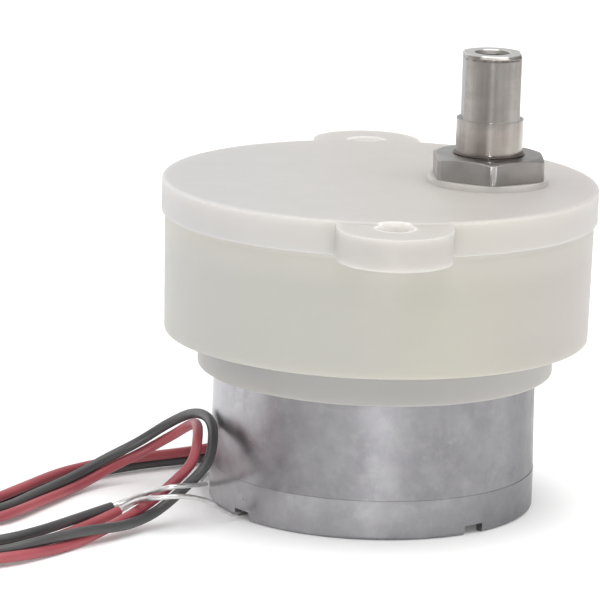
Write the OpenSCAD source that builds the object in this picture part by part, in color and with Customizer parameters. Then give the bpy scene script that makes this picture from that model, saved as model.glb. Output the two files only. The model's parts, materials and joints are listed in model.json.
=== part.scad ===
// Geared DC motor: a flat can motor under a round plastic gearbox, with an offset output shaft.
// Origin: centre of the motor's bottom rim.  +Z up along the motor axis.
// +X points from the motor axis to the output shaft.  The two ears lie on +Y and -Y.

/* [Motor] */
// Outer diameter of the motor's end cup
motor_d = 38.1; // [37.6:0.1:38.2]
// Outer diameter of the can at its upper end
can_top_d = 37.6; // [37.2:0.1:37.8]
// Height of the end cup, from the bottom rim to its seam with the can
seam_z = 4.6; // [4:0.2:5.4]
// Width of each notch in the bottom rim
notch_w = 2.6; // [1.6:0.2:3.4]
// Height of each notch in the bottom rim
notch_h = 1.1; // [0.8:0.1:1.3]
// Diameter of the motor shaft
motor_shaft_d = 2; // [2:0.1:2.4]

/* [Gearbox] */
// Height of the neck's lower rim above the bottom
neck_z = 16.1; // [15:0.1:17]
// Outer diameter of the neck round the motor
neck_d = 41.6; // [41:0.1:42.4]
// Height of the underside of the case
case_z = 20.2; // [20.2:0.1:20.4]
// Diameter of the case at its underside
case_bottom_d = 49.6; // [49.2:0.1:50]
// Diameter of the case under the lid
case_top_d = 50; // [49.8:0.1:50.4]
// Height of the seam between the case and the lid
lid_z = 34.3; // [34.1:0.1:34.6]
// Height of the lid's top face
top_z = 38.2; // [38:0.1:38.4]
// Diameter of the lid
lid_d = 50.8; // [50.6:0.1:51.2]
// Radius of the lid's top edge
lid_round = 0.4; // [0.2:0.1:0.6]

/* [Ears] */
// Distance between the two ear holes
ear_pitch = 53.6; // [53:0.1:54]
// Radius of an ear's round end
ear_r = 6.5; // [6.2:0.1:7]
// Diameter of an ear hole
ear_hole_d = 4.2; // [3.2:0.1:4.6]
// Distance from the lid's top face down to an ear's top face
ear_drop = 0.3; // [0.2:0.1:0.6]

/* [Output] */
// Distance from the motor axis to the output shaft
output_x = 12.5; // [12.3:0.1:12.6]
// Diameter of the output shaft
shaft_d = 7.8; // [7.4:0.1:7.8]
// Height of the step below the two flats
step_z = 45.7; // [44.5:0.1:47]
// Height of the shaft's end
shaft_top_z = 53.4; // [52:0.1:55]
// Distance between the two flats
flats_w = 6.5; // [6:0.1:7]
// Radius of the tapped hole in the shaft's end
tap_r = 1.65; // [1.25:0.05:2]
// Depth of the tapped hole
tap_depth = 11; // [8:0.5:14]
// Distance across the flats of the hexagonal bush
hex_w = 12.4; // [12:0.1:12.6]
// Distance across the rounded corners of the hexagon
hex_round_d = 13.9; // [13:0.1:14]
// Height of the hexagon's top face
hex_top_z = 41.5; // [41:0.1:42]
// Diameter of the lid's round boss under the hexagon
boss_d = 14.3; // [14:0.1:14.8]
// Height of that boss above the lid
boss_h = 0.7; // [0.5:0.1:1]

/* [Gears] */
// Module of the first three gear pairs
module_a = 0.5; // [0.49:0.01:0.5]
// Module of the last gear pair
module_b = 0.6; // [0.59:0.01:0.6]
// Gap left between meshing teeth
backlash = 0.12; // [0.1:0.01:0.16]

/* [Leads] */
// Outer diameter of the two leads lying side by side
pair_d = 2.45; // [2.3:0.05:2.5]
// Diameter of a bare tinned conductor
tinned_d = 0.65; // [0.5:0.05:0.65]

/* [Hidden] */
$fn = 96;
eps = 0.01;

// Case and lid
case_floor = 2;
floor_top_z = case_z + case_floor;
case_in_r = 23.2;
neck_in_r = 19.05;
lid_plate = 1.8;
lid_under_z = top_z - lid_plate;
spigot_h = 1;
spigot_r = case_in_r - 0.05;
spigot_in_r = 22;
boss_top_z = top_z + boss_h;
boss_draft = 0.15;
ear_hole_y = ear_pitch / 2;
ear_top_z = top_z - ear_drop;
column_r = 2.2;
column_place_r = 22.6;
column_angles = [90, 218, 322];
screw_r = 1.05;
thread_r = screw_r - 0.15;
screw_head_r = 1.5;
screw_recess_r = 1.6;
screw_recess_h = 1.4;
motor_boss_r = 5;
motor_boss_top_z = case_z + 2.2;
front_bearing_r = motor_boss_r - 0.8;
front_bearing_top_z = motor_boss_top_z - 0.6;
motor_screw_y = 8;
motor_screw_r = 1;
motor_screw_head_r = 1.9;
motor_screw_head_h = 1;
lower_bush_z = 21.2;
lower_bush_top_z = 24.4;
lower_bush_r = 4.2;
cross_slot_w = 0.3;
cross_slot_depth = 0.5;

// Motor
can_wall = 0.8;
can_in_r = motor_d / 2 - can_wall;
can_top_z = case_z;
cup_round = 0.4;
notch_angles = [35, 125, 215, 305];
bell_r = can_in_r - 0.2;
bell_z = 1.3;
bell_h = 2;
bell_top_z = bell_z + bell_h;
bearing_seat_r = 2.6;
shaft_r = motor_shaft_d / 2;
running = 0.05;
core_z = 8.6;
core_h = 6.4;
core_top_z = core_z + core_h;
core_r = 14.6;
core_hub_r = 4.5;
pole_angles = [90, 210, 330];
pole_in_r = 12.4;
arm_w = 4;
insulator_low_h = 1.1;
insulator_high_h = 1.5;
magnet_in_r = 15.1;
magnet_out_r = bell_r;
magnet_span = 130;
magnet_over = 1.2;
clip_t = 0.5;
holder_h = 1.4;
brush_z = bell_top_z + holder_h;
brush_h = 1.5;
brush_l = 2;
brush_end_r = 6.05;
commutator_z = 4.1;
segment_in_r = 3.2;
segment_r = 3.8;
segment_h = 2.3;
brush_angles = [80, 260];
terminal_angles = [125, 215];
terminal_r = 14;
terminal_t = 0.5;
terminal_w = 2;
collar_tube_r = 1.8;

// Gear train: tooth counts, levels and centres.  Each wheel has the same axle as the next pinion.
teeth_motor = 10;
teeth_wheel_1 = 38;
teeth_pinion_1 = 12;
teeth_wheel_2 = 36;
teeth_pinion_2 = 12;
teeth_wheel_3 = 34;
teeth_pinion_3 = 12;
teeth_output = 30;
pressure_angle = 20;
shift = 0.42;
level_1 = 23;
level_2 = 25.6;
level_3 = 28.7;
level_4 = 31.8;
wheel_1_h = 2;
wheel_1_top_z = level_1 + wheel_1_h;
wheel_h = 2.5;
output_gear_h = 3.6;
pin_r = 1;
gear_bore_r = 1.06;
hub_r = 1.9;
washer_top_z = 22.5;
pin_bottom_z = 20.9;
pin_top_z = 37.3;
span_1 = module_a * (teeth_motor + teeth_wheel_1) / 2;
span_2 = module_a * (teeth_pinion_1 + teeth_wheel_2) / 2;
span_3 = module_a * (teeth_pinion_2 + teeth_wheel_3) / 2;
span_4 = module_b * (teeth_pinion_3 + teeth_output) / 2;
output_at = [output_x, 0];
axle_1_angle = 150;
axle_1 = span_1 * [cos(axle_1_angle), sin(axle_1_angle)];
axle_3_angle = 230;
axle_3 = output_at + span_4 * [cos(axle_3_angle), sin(axle_3_angle)];
// The second axle lies where circles of span_2 about axle_1 and span_3 about axle_3 cross.
across = axle_3 - axle_1;
across_len = norm(across);
across_dir = across / across_len;
foot = (across_len * across_len + span_2 * span_2 - span_3 * span_3) / (2 * across_len);
rise = sqrt(span_2 * span_2 - foot * foot);
axle_2 = axle_1 + foot * across_dir + rise * [across_dir[1], -across_dir[0]];

// Output shaft
out_r = shaft_d / 2;
upper_journal_r = out_r + 0.25;
ring_groove_r = out_r - 0.3;
flats_r = out_r - 0.05;
journal_r = 3;
journal_top_z = level_3 + wheel_h + 0.2;
collar_r = 5;
output_gear_top = level_4 + output_gear_h;
clip_h = 0.5;
clip_r = 5.2;
groove_r = 3.4;
flat_cut_w = 5;
countersink_h = 0.5;
bush_bore_r = upper_journal_r + running;
bush_barrel_r = 5.6;
ring_r = out_r + 0.2;
ring_top_z = hex_top_z + 0.25;

// Leads: the pair runs along the table, stands in one loop against the can and ends behind it.
LEAD_ROUTE = [[-30.2, -14.2, 1.9], [-34, -17.8, 1.3], [-38, -23, 1.25], [-43, -27.6, 1.25],
    [-49.2, -29.6, 1.25], [-54.6, -28.4, 1.25], [-56.8, -24, 1.25], [-54.6, -19.8, 1.25],
    [-49.2, -17.6, 1.25], [-43.4, -14.2, 1.25], [-38.9, -7, 1.25], [-34.8, -0.2, 1.35], [-31, 3.6, 2.6],
    [-27.2, 5, 4.3], [-23.8, 4.4, 6.6], [-21.4, 1, 8.8], [-20.1, -4, 9.8], [-19.9, -8.6, 9],
    [-20.6, -11.5, 6.8], [-23.2, -13.1, 4.3], [-26.2, -15, 2.2], [-29.6, -18.6, 1.35],
    [-33.7, -23.2, 1.25], [-38.1, -27.6, 1.25], [-43, -31.4, 1.25], [-50.6, -34.6, 1.25],
    [-58, -34.2, 1.25], [-64, -29.8, 1.25], [-65.6, -22.8, 1.25], [-62.2, -17, 1.25], [-56, -14.8, 1.25],
    [-50, -14.4, 1.25], [-45.4, -12, 1.25], [-41, -5.2, 1.25], [-36.6, 1.9, 1.25], [-31.3, 7.2, 1.25],
    [-25.9, 10.7, 1.25], [-20.3, 13.6, 1.25], [-13.4, 18.6, 1.25], [-6, 22, 1.25]];
// The bare start of each lead, from its solder joint out through a notch
TINNED_A = [[-12.6, -8.8, 0.6], [-14.8, -10.3, 0.6], [-16.4, -11.5, 0.7], [-17.8, -12.9, 1.7],
    [-19.2, -14.6, 3], [-21.1, -16, 3.9], [-23.1, -17, 4.3], [-25.1, -17.3, 4.2], [-26.9, -16.5, 3.8],
    [-28.4, -15.1, 2.8], [-29.5, -14.5, 1.9]];
TINNED_B = [[-8.9, 12.3, 0.6], [-10.4, 15.2, 0.6], [-11.8, 16.7, 0.6], [-14.4, 15, 0.5],
    [-17.9, 10.6, 0.4], [-19.7, 5.5, 0.5], [-20.1, 0.5, 1.1], [-19.8, -4.5, 2.4], [-19.8, -9.2, 3.7],
    [-20.7, -13.4, 4.7], [-22.3, -16, 5.3], [-24, -16.8, 5.3], [-25.7, -15.8, 4.6], [-27.3, -14.4, 3.7],
    [-28.8, -13.5, 2.8], [-30.3, -13.5, 2.1]];
// The bare far end of each lead
TIP_A = [[-5.9, 22.5, 1.4], [-3.7, 23.9, 1.1], [-0.9, 24.9, 0.5]];
TIP_B = [[-5.5, 21.7, 1.4], [-3.1, 21.9, 1], [-0.5, 21.1, 0.5]];

// ---------- helpers ----------

// A tube from one height to another
module tube(z0, z1, outer_r, inner_r) {
    translate([0, 0, z0])
        difference() {
            cylinder(h = z1 - z0, r = outer_r);
            translate([0, 0, -eps])
                cylinder(h = z1 - z0 + 2 * eps, r = inner_r);
        }
}

// A straight round bar from one height to another
module bar(z0, z1, r) {
    translate([0, 0, z0])
        cylinder(h = z1 - z0, r = r);
}

// A piece of a ring, centred on an angle
module ring_part(z0, h, inner_r, outer_r, angle, span) {
    translate([0, 0, z0])
        rotate([0, 0, angle - span / 2])
            rotate_extrude(angle = span)
                translate([inner_r, 0])
                    square([outer_r - inner_r, h]);
}

module at(place) {
    translate([place[0], place[1], 0])
        children();
}

// Involute tooth outline, with a tooth centred on +X
function inv(a) = tan(a) - a * PI / 180;
function half_angle(m, z, x, r) = 90 / z + (2 * x * tan(pressure_angle) / z
    + inv(pressure_angle) - inv(acos(min(1, m * z * cos(pressure_angle) / 2 / r)))
    - backlash / (2 * m * z)) * 180 / PI;
function on_circle(r, a) = [r * cos(a), r * sin(a)];
function flank_radii(m, z, x, n) = let (low = max(m * z * cos(pressure_angle) / 2, root_r(m, z, x)),
    high = tip_r(m, z, x)) [for (i = [0 : n]) low + (high - low) * i / n];
function tip_r(m, z, x) = m * z / 2 + m * (1 + x);
function root_r(m, z, x) = m * z / 2 - m * (1.25 - x);
function tooth(m, z, x, turn) = let (rr = flank_radii(m, z, x, 4), root = root_r(m, z, x),
    low = half_angle(m, z, x, rr[0]))
    concat([on_circle(root, turn - low)],
        [for (r = rr) on_circle(r, turn - half_angle(m, z, x, r))],
        [for (i = [4 : -1 : 0]) on_circle(rr[i], turn + half_angle(m, z, x, rr[i]))],
        [on_circle(root, turn + low)]);
module gear_outline(m, z, x, turn) {
    polygon([for (k = [0 : z - 1]) each tooth(m, z, x, turn + 360 * k / z)]);
}

// A pinion has a tooth on the centre line, and the wheel that it drives has a space there.
module pinion(z0, z1, m, z, towards) {
    translate([0, 0, z0])
        linear_extrude(z1 - z0)
            gear_outline(m, z, shift, towards);
}
module wheel(z0, h, m, z, from) {
    translate([0, 0, z0])
        linear_extrude(h)
            gear_outline(m, z, -shift, from + 180 / z);
}
function direction(a, b) = atan2(b[1] - a[1], b[0] - a[0]);

// A round tube of 8 sides swept along a list of points
SIDES = 8;
function unit(v) = v / norm(v);
function heading(path, i) = unit(path[min(i + 1, len(path) - 1)] - path[max(i - 1, 0)]);
function sideways(t) = unit(cross([0, 0, 1], t));
function ring_points(path, i, r) = let (t = heading(path, i), s = sideways(t), u = cross(t, s))
    [for (k = [0 : SIDES - 1]) path[i] + r * (cos(360 * k / SIDES) * s + sin(360 * k / SIDES) * u)];
module swept_tube(path, r) {
    rings = len(path);
    points = [for (i = [0 : rings - 1]) each ring_points(path, i, r)];
    sides = [for (i = [0 : rings - 2]) for (k = [0 : SIDES - 1])
        let (n = (k + 1) % SIDES) [i * SIDES + k, (i + 1) * SIDES + k, (i + 1) * SIDES + n, i * SIDES + n]];
    near_end = [for (k = [0 : SIDES - 1]) k];
    far_end = [for (k = [SIDES - 1 : -1 : 0]) (rings - 1) * SIDES + k];
    polyhedron(points = points, faces = concat([near_end, far_end], sides));
}

// ---------- gearbox housing ----------

module column_places() {
    for (a = column_angles)
        rotate([0, 0, a])
            translate([column_place_r, 0, 0])
                children();
}

// The round hollow inside the case or the lid, less the screw columns that stand in it
module hollow(z0, z1, r, column) {
    translate([0, 0, z0])
        linear_extrude(z1 - z0)
            difference() {
                circle(r);
                column_places() circle(column);
            }
}

module gearbox_case() {
    color([0.86, 0.86, 0.82])
        difference() {
            union() {
                difference() {
                    translate([0, 0, case_z])
                        cylinder(h = lid_z - case_z, r1 = case_bottom_d / 2, r2 = case_top_d / 2);
                    hollow(floor_top_z, lid_z + 1, case_in_r, column_r);
                }
                tube(neck_z, case_z, neck_d / 2, neck_in_r);
                at(output_at) bar(floor_top_z - 1, lower_bush_top_z, lower_bush_r + 1);
            }
            bar(case_z - 1, floor_top_z + 1, motor_boss_r + running);
            at(output_at) bar(lower_bush_z, lower_bush_top_z + 1, lower_bush_r);
            for (p = [axle_1, axle_2, axle_3])
                at(p) bar(pin_bottom_z, floor_top_z + 1, pin_r);
            column_places() {
                bar(case_z - 1, lid_z + 1, screw_r);
                bar(case_z - 1, case_z + screw_recess_h, screw_recess_r);
            }
            for (s = [-1, 1])
                translate([0, s * motor_screw_y, 0]) {
                    bar(case_z - 1, floor_top_z + 1, motor_screw_r);
                    bar(floor_top_z - motor_screw_head_h, floor_top_z + 1, motor_screw_head_r);
                }
        }
}

module lid_rim_profile() {
    union() {
        square([lid_d / 2 - lid_round, top_z - lid_z]);
        square([lid_d / 2, top_z - lid_z - lid_round]);
        translate([lid_d / 2 - lid_round, top_z - lid_z - lid_round])
            circle(lid_round);
    }
}

module ears() {
    translate([0, 0, lid_z])
        linear_extrude(ear_top_z - lid_z)
            union() {
                square([2 * ear_r, ear_pitch], center = true);
                for (s = [-1, 1])
                    translate([0, s * ear_hole_y])
                        circle(ear_r);
            }
}

module gearbox_lid() {
    color([0.9, 0.89, 0.91])
        difference() {
            union() {
                translate([0, 0, lid_z])
                    rotate_extrude()
                        lid_rim_profile();
                ears();
                at(output_at)
                    translate([0, 0, top_z - boss_h])
                        cylinder(h = 2 * boss_h, r1 = boss_d / 2 + boss_draft,
                            r2 = boss_d / 2 - boss_draft);
                hollow(lid_z - spigot_h, lid_z + 1, spigot_r, column_r + 0.2);
            }
            hollow(lid_z - spigot_h - 1, lid_under_z, spigot_in_r, column_r);
            at(output_at) bar(lid_under_z - 1, boss_top_z + 1, bush_barrel_r);
            for (p = [axle_1, axle_2, axle_3])
                at(p) bar(lid_under_z - 1, pin_top_z, pin_r);
            column_places() bar(lid_z - 1, top_z - 1, thread_r);
            for (s = [-1, 1])
                translate([0, s * ear_hole_y, 0])
                    bar(lid_z - 1, top_z + 1, ear_hole_d / 2);
        }
}

// The cross slot of a screw, cut down from one height, or up where the depth is negative
module cross_slot(z, depth, length) {
    for (turn = [0, 90])
        rotate([0, 0, turn])
            translate([-length / 2, -cross_slot_w / 2, min(z, z - depth)])
                cube([length, cross_slot_w, abs(depth) + eps]);
}

module case_screws() {
    screw_z = case_z + 0.1;
    color([0.6, 0.6, 0.62])
        column_places()
            difference() {
                union() {
                    bar(screw_z, case_z + screw_recess_h, screw_head_r);
                    bar(case_z + screw_recess_h, top_z - 1.2, thread_r);
                }
                translate([0, 0, -eps])
                    cross_slot(screw_z, -cross_slot_depth, 1.5 * screw_head_r);
            }
}

module output_bushing() {
    hex_r = hex_w / sqrt(3);
    chamfer = 0.3;
    edge = 0.1;
    round_r = hex_round_d / 2;
    color([0.36, 0.37, 0.37])
        at(output_at)
            difference() {
                union() {
                    intersection() {
                        translate([0, 0, boss_top_z])
                            rotate([0, 0, 30])
                                cylinder(h = hex_top_z - boss_top_z, r = hex_r, $fn = 6);
                        union() {
                            bar(boss_top_z, hex_top_z - chamfer, round_r);
                            translate([0, 0, hex_top_z - chamfer])
                                cylinder(h = chamfer, r1 = round_r, r2 = hex_w / 2 - edge);
                        }
                    }
                    bar(lid_under_z, boss_top_z + eps, bush_barrel_r);
                }
                bar(lid_under_z - 1, hex_top_z + 1, bush_bore_r);
            }
}

module lower_bushing() {
    color([0.62, 0.5, 0.3])
        at(output_at) tube(lower_bush_z, lower_bush_top_z, lower_bush_r, journal_r + running);
}

module axle_pins() {
    color([0.75, 0.75, 0.77])
        for (p = [axle_1, axle_2, axle_3])
            at(p) bar(pin_bottom_z, pin_top_z, pin_r);
}

module gear_washers() {
    color([0.85, 0.8, 0.65])
        for (p = [axle_1, axle_2, axle_3])
            at(p) tube(floor_top_z, washer_top_z - running, hub_r, pin_r);
}

module gear_spacers() {
    color([0.92, 0.92, 0.9]) {
        at(axle_1) tube(level_2 + wheel_h + 0.1, lid_under_z, hub_r, pin_r);
        at(axle_2) tube(level_3 + wheel_h + 0.1, lid_under_z, hub_r, pin_r);
        at(axle_3) tube(output_gear_top + 0.1, lid_under_z, hub_r, pin_r);
    }
}

// ---------- motor housing ----------

module motor_screws() {
    color([0.7, 0.7, 0.72])
        for (s = [-1, 1])
            translate([0, s * motor_screw_y, 0])
                difference() {
                    union() {
                        bar(floor_top_z - motor_screw_head_h, floor_top_z, motor_screw_head_r);
                        bar(can_top_z - can_wall - 0.6, floor_top_z - cross_slot_depth, motor_screw_r);
                    }
                    cross_slot(floor_top_z, cross_slot_depth, 1.4 * motor_screw_head_r);
                }
}

module motor_can() {
    color([0.62, 0.62, 0.65])
        difference() {
            union() {
                translate([0, 0, seam_z])
                    cylinder(h = can_top_z - seam_z, r1 = motor_d / 2 - 0.05, r2 = can_top_d / 2);
                bar(can_top_z - eps, motor_boss_top_z, motor_boss_r);
            }
            bar(seam_z - 1, can_top_z - can_wall, bell_r);
            bar(can_top_z - 2, front_bearing_top_z, front_bearing_r);
            bar(can_top_z - 2, motor_boss_top_z + 1, shaft_r + 0.6);
            for (s = [-1, 1])
                translate([0, s * motor_screw_y, 0])
                    bar(can_top_z - 2, can_top_z + 1, motor_screw_r);
        }
}

module cup_profile() {
    wall = motor_d / 2 - bell_r;
    translate([bell_r, 0])
        union() {
            translate([0, cup_round]) square([wall, seam_z - cup_round]);
            square([wall - cup_round, seam_z]);
            translate([wall - cup_round, cup_round]) circle(cup_round);
        }
}

module end_cup() {
    color([0.6, 0.6, 0.63])
        difference() {
            rotate_extrude() cup_profile();
            for (a = notch_angles)
                rotate([0, 0, a])
                    translate([bell_r - 1, -notch_w / 2, -1])
                        cube([motor_d / 2 - bell_r + 2, notch_w, notch_h + 1]);
        }
}

module end_bell() {
    holder_in_r = 4.4;
    holder_t = 2;
    holder_w = 4;
    color([0.13, 0.13, 0.14])
        difference() {
            union() {
                bar(bell_z, bell_top_z, bell_r);
                bar(bell_z - 0.7, bell_top_z + 0.4, bearing_seat_r + 1.4);
                for (a = brush_angles)
                    rotate([0, 0, a])
                        translate([holder_in_r, -holder_w / 2, bell_top_z - eps])
                            cube([holder_t, holder_w, holder_h + eps]);
            }
            bar(bell_z - 0.2, bell_top_z + 1, bearing_seat_r);
            bar(bell_z - 1, bell_z, bearing_seat_r - 1);
            for (a = terminal_angles)
                rotate([0, 0, a])
                    translate([terminal_r - terminal_t / 2, -terminal_w / 2, bell_z - 1])
                        cube([terminal_t, terminal_w, bell_h + 2]);
        }
}

module front_bearing() {
    color([0.66, 0.5, 0.28])
        tube(can_top_z, front_bearing_top_z, front_bearing_r, shaft_r + running);
}

module rear_bearing() {
    color([0.66, 0.5, 0.28])
        tube(bell_z - 0.2, bell_top_z + 0.2, bearing_seat_r, shaft_r + running);
}

module magnet(angle) {
    color([0.3, 0.28, 0.27])
        ring_part(core_z - magnet_over, core_h + 2 * magnet_over, magnet_in_r, magnet_out_r, angle,
            magnet_span);
}

module magnet_left() {
    magnet(180);
}

module magnet_right() {
    magnet(0);
}

module magnet_clips() {
    color([0.7, 0.7, 0.72])
        for (a = [90, 270])
            ring_part(core_z, core_h, magnet_out_r - clip_t, magnet_out_r, a, 180 - magnet_span - 1);
}

// A flat strip on edge from one point to another
module strip(p, q, z0, h, w) {
    translate([p[0], p[1], z0])
        rotate([0, 0, direction(p, q)])
            translate([0, -w / 2, 0])
                cube([norm(q - p), w, h]);
}

module brush_arms() {
    arm_t = 0.3;
    color([0.75, 0.5, 0.3])
        for (i = [0, 1])
            strip(on_circle(terminal_r, terminal_angles[i]), on_circle(brush_end_r, brush_angles[i]),
                brush_z, brush_h, arm_t);
}

module carbon_brushes() {
    brush_w = 1.8;
    color([0.16, 0.16, 0.16])
        for (a = brush_angles)
            rotate([0, 0, a])
                translate([segment_r + running, -brush_w / 2, brush_z])
                    cube([brush_l, brush_w, brush_h]);
}

module terminals() {
    foot_l = 2;
    foot_h = 0.4;
    color([0.8, 0.78, 0.72])
        for (a = terminal_angles)
            rotate([0, 0, a]) {
                translate([terminal_r - terminal_t / 2, -terminal_w / 2, bell_z - foot_h])
                    cube([terminal_t, terminal_w, brush_z - bell_z + foot_h]);
                translate([terminal_r - foot_l, -terminal_w / 2, bell_z - foot_h])
                    cube([foot_l, terminal_w, foot_h]);
            }
}

module solder_joints() {
    drop_r = 1.1;
    drop_bottom_z = 0.2;
    drop_top_z = bell_z - 0.4;
    color([0.78, 0.79, 0.8])
        for (a = terminal_angles)
            rotate([0, 0, a])
                intersection() {
                    translate([terminal_r + 0.4, 0, drop_top_z]) sphere(drop_r);
                    bar(drop_bottom_z, drop_top_z, motor_d);
                }
}

// ---------- leads ----------

module lead_pair() {
    color([0.62, 0.16, 0.18]) swept_tube(LEAD_ROUTE, pair_d / 2);
}

module tinned_leads() {
    color([0.8, 0.8, 0.82]) {
        swept_tube(TINNED_A, tinned_d / 2);
        swept_tube(TINNED_B, tinned_d / 2);
    }
}

module tinned_tips() {
    color([0.8, 0.8, 0.82]) {
        swept_tube(TIP_A, tinned_d / 2);
        swept_tube(TIP_B, tinned_d / 2);
    }
}

// ---------- rotor ----------

module motor_shaft() {
    color([0.8, 0.8, 0.82]) bar(bell_z - 0.1, wheel_1_top_z + 0.3, shaft_r);
}

// One lamination: a hub, three arms and three pole shoes with straight slots between them
module lamination() {
    slot_w = 3.2;
    difference() {
        circle(core_r);
        difference() {
            circle(pole_in_r);
            circle(core_hub_r);
            for (a = pole_angles)
                rotate(a)
                    translate([0, -arm_w / 2])
                        square([core_r, arm_w]);
        }
        for (a = pole_angles)
            rotate(a + 60)
                translate([pole_in_r - 1, -slot_w / 2])
                    square([core_r, slot_w]);
        circle(shaft_r);
    }
}

module armature_core() {
    color([0.5, 0.5, 0.52])
        translate([0, 0, core_z])
            linear_extrude(core_h)
                lamination();
}

module armature_coils() {
    coil_in_r = 6;
    coil_l = 5.4;
    coil_w = 8.6;
    over = insulator_high_h;
    color([0.72, 0.35, 0.16])
        for (a = pole_angles)
            rotate([0, 0, a])
                translate([coil_in_r, 0, core_z])
                    difference() {
                        translate([0, -coil_w / 2, -over]) cube([coil_l, coil_w, core_h + 2 * over]);
                        translate([-1, -arm_w / 2, 0]) cube([coil_l + 2, arm_w, core_h]);
                    }
}

module coil_insulators() {
    color([0.2, 0.35, 0.6]) {
        tube(core_z - insulator_low_h, core_z, core_hub_r, shaft_r);
        tube(core_top_z, core_top_z + insulator_high_h, core_hub_r, shaft_r);
    }
}

module commutator_hub() {
    color([0.35, 0.2, 0.12]) tube(commutator_z, core_z - insulator_low_h, segment_in_r, shaft_r);
}

module commutator_segments() {
    gap = 8;
    segment_z = commutator_z + 0.3;
    tab_z = segment_z + segment_h - 0.2;
    tab_h = 0.4;
    tab_span = 30;
    color([0.8, 0.5, 0.32])
        for (a = pole_angles) {
            ring_part(segment_z, segment_h, segment_in_r, segment_r, a, 120 - gap);
            ring_part(tab_z, tab_h, segment_r - 0.2, segment_r + 0.9, a, tab_span);
        }
}

module varistor_ring() {
    ring_z = 7;
    varistor_r = 5.4;
    color([0.25, 0.25, 0.27]) tube(ring_z, core_z - insulator_low_h, varistor_r, segment_in_r);
}

module shaft_collars() {
    color([0.93, 0.93, 0.9]) {
        tube(bell_top_z + 0.3, commutator_z, collar_tube_r, shaft_r);
        tube(core_top_z + insulator_high_h, can_top_z - 0.1, collar_tube_r, shaft_r);
    }
}

module motor_pinion() {
    color([0.8, 0.65, 0.35])
        difference() {
            pinion(motor_boss_top_z + 0.3, wheel_1_top_z + 0.1, module_a, teeth_motor,
                direction([0, 0], axle_1));
            bar(motor_boss_top_z, level_2, shaft_r);
        }
}

// ---------- gears ----------

// Wheel below, pinion above, and a hub down to the washer.  place is its axle.
module compound_gear(place, before, after, z0, h, wheel_teeth, m, teeth, pinion_m, top, tint) {
    color(tint)
        at(place)
            difference() {
                union() {
                    bar(washer_top_z, z0 + eps, hub_r);
                    wheel(z0, h, m, wheel_teeth, direction(place, before));
                    pinion(z0 + h - eps, top, pinion_m, teeth, direction(place, after));
                }
                bar(washer_top_z - 1, top + 1, gear_bore_r);
            }
}

module gear_1() {
    compound_gear(axle_1, [0, 0], axle_2, level_1, wheel_1_h, teeth_wheel_1, module_a, teeth_pinion_1,
        module_a, level_2 + wheel_h, [0.95, 0.95, 0.92]);
}

module gear_2() {
    compound_gear(axle_2, axle_1, axle_3, level_2, wheel_h, teeth_wheel_2, module_a, teeth_pinion_2,
        module_a, level_3 + wheel_h, [0.93, 0.93, 0.9]);
}

module gear_3() {
    compound_gear(axle_3, axle_2, output_at, level_3, wheel_h, teeth_wheel_3, module_a, teeth_pinion_3,
        module_b, output_gear_top, [0.78, 0.78, 0.76]);
}

// ---------- output ----------

module output_shaft() {
    tip = 0.35;
    countersink_r = tap_r + 0.5;
    color([0.6, 0.59, 0.57])
        at(output_at)
            difference() {
                union() {
                    bar(lower_bush_z + 0.1, journal_top_z, journal_r);
                    bar(journal_top_z, level_4, collar_r);
                    bar(level_4 - eps, hex_top_z, upper_journal_r);
                    bar(hex_top_z - eps, ring_top_z + eps, ring_groove_r);
                    bar(ring_top_z, step_z, out_r);
                    bar(step_z - eps, shaft_top_z - tip, flats_r);
                    translate([0, 0, shaft_top_z - tip])
                        cylinder(h = tip, r1 = flats_r, r2 = flats_r - tip);
                }
                tube(output_gear_top, output_gear_top + clip_h, out_r + 1, groove_r);
                for (s = [-1, 1])
                    translate([s > 0 ? flats_w / 2 : -flats_w / 2 - flat_cut_w, -shaft_d, step_z])
                        cube([flat_cut_w, 2 * shaft_d, shaft_top_z]);
                bar(shaft_top_z - tap_depth, shaft_top_z + 1, tap_r);
                translate([0, 0, shaft_top_z - countersink_h])
                    cylinder(h = countersink_h + eps, r1 = tap_r, r2 = countersink_r);
            }
}

module output_gear() {
    color([0.7, 0.7, 0.68])
        at(output_at)
            difference() {
                wheel(level_4, output_gear_h, module_b, teeth_output, direction(output_at, axle_3));
                bar(level_4 - 1, output_gear_top + 1, upper_journal_r);
            }
}

module retaining_clip() {
    clip_span = 290;
    color([0.3, 0.3, 0.32])
        at(output_at) ring_part(output_gear_top, clip_h, groove_r, clip_r, 0, clip_span);
}

module thrust_washer() {
    color([0.85, 0.8, 0.6])
        at(output_at)
            tube(output_gear_top + clip_h + running, lid_under_z - 0.1, clip_r + 0.1, upper_journal_r);
}

module shaft_ring() {
    color([0.2, 0.19, 0.18])
        at(output_at) tube(hex_top_z + running, ring_top_z, ring_r, ring_groove_r);
}

gearbox_case();
gearbox_lid();
case_screws();
output_bushing();
lower_bushing();
axle_pins();
gear_washers();
gear_spacers();
motor_screws();
motor_can();
end_cup();
end_bell();
front_bearing();
rear_bearing();
magnet_left();
magnet_right();
magnet_clips();
brush_arms();
carbon_brushes();
terminals();
solder_joints();
lead_pair();
tinned_leads();
tinned_tips();
motor_shaft();
armature_core();
armature_coils();
coil_insulators();
commutator_hub();
commutator_segments();
varistor_ring();
shaft_collars();
motor_pinion();
gear_1();
gear_2();
gear_3();
output_shaft();
output_gear();
retaining_clip();
thrust_washer();
shaft_ring();
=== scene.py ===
import json
import math

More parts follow.
